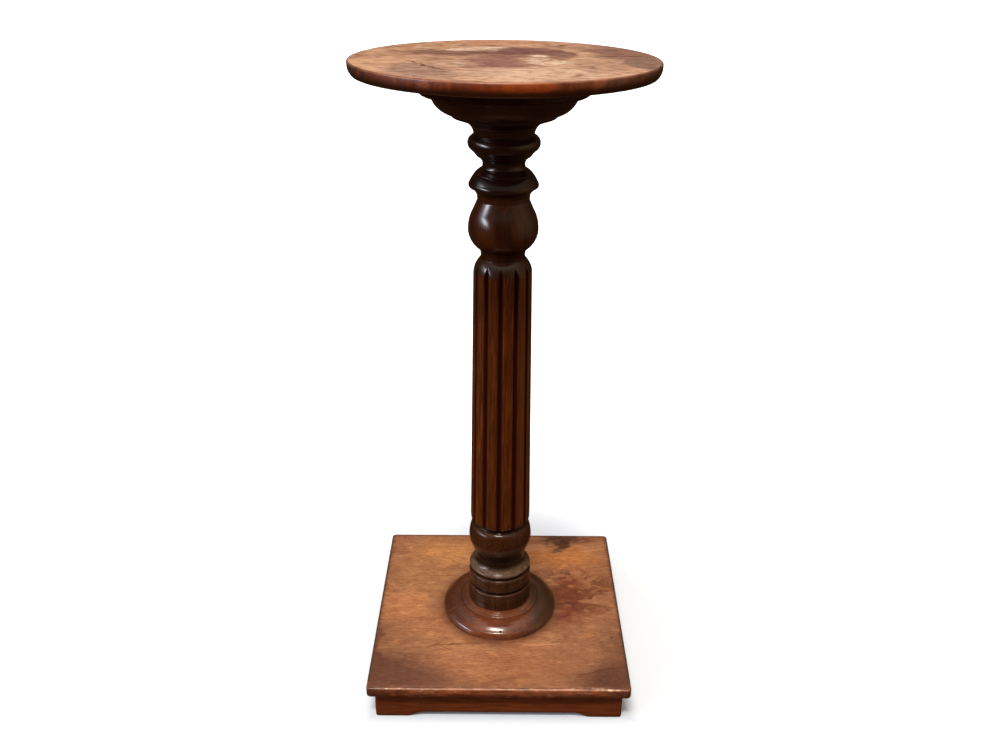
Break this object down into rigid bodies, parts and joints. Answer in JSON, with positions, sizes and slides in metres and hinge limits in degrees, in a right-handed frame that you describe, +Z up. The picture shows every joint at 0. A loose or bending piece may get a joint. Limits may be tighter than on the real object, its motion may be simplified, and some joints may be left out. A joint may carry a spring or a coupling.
{
  "type": "fluted wooden pedestal",
  "caption": "Wooden plant or display pedestal: round top on a turned cap, fluted and turned column, domed collar and square base board on low scalloped feet.",
  "frame": {"origin": "on the floor, under the middle of the base", "axes": "+Z up along the column, -Y towards the front"},
  "size_m": [0.396, 0.396, 0.9229],
  "materials": {
    "worn_top": "worn varnish, pale bare patches and dark streaks",
    "dark_turning": "dark brown stain under gloss varnish",
    "brown_column": "brown stain under semi-gloss varnish, darker in the grooves",
    "red_collar": "reddish brown stain under gloss varnish",
    "orange_board": "orange brown varnish with reddish stains and worn edges",
    "orange_rail": "orange brown varnish"
  },
  "bodies": {
    "root": {"top_board": "worn_top", "cap_moulding": "dark_turning", "column": "brown_column", "base_collar": "red_collar", "plinth_board": "orange_board", "skirt_front": "orange_rail", "skirt_right": "orange_rail", "skirt_back": "orange_rail", "skirt_left": "orange_rail"}
  },
  "joints": []
}
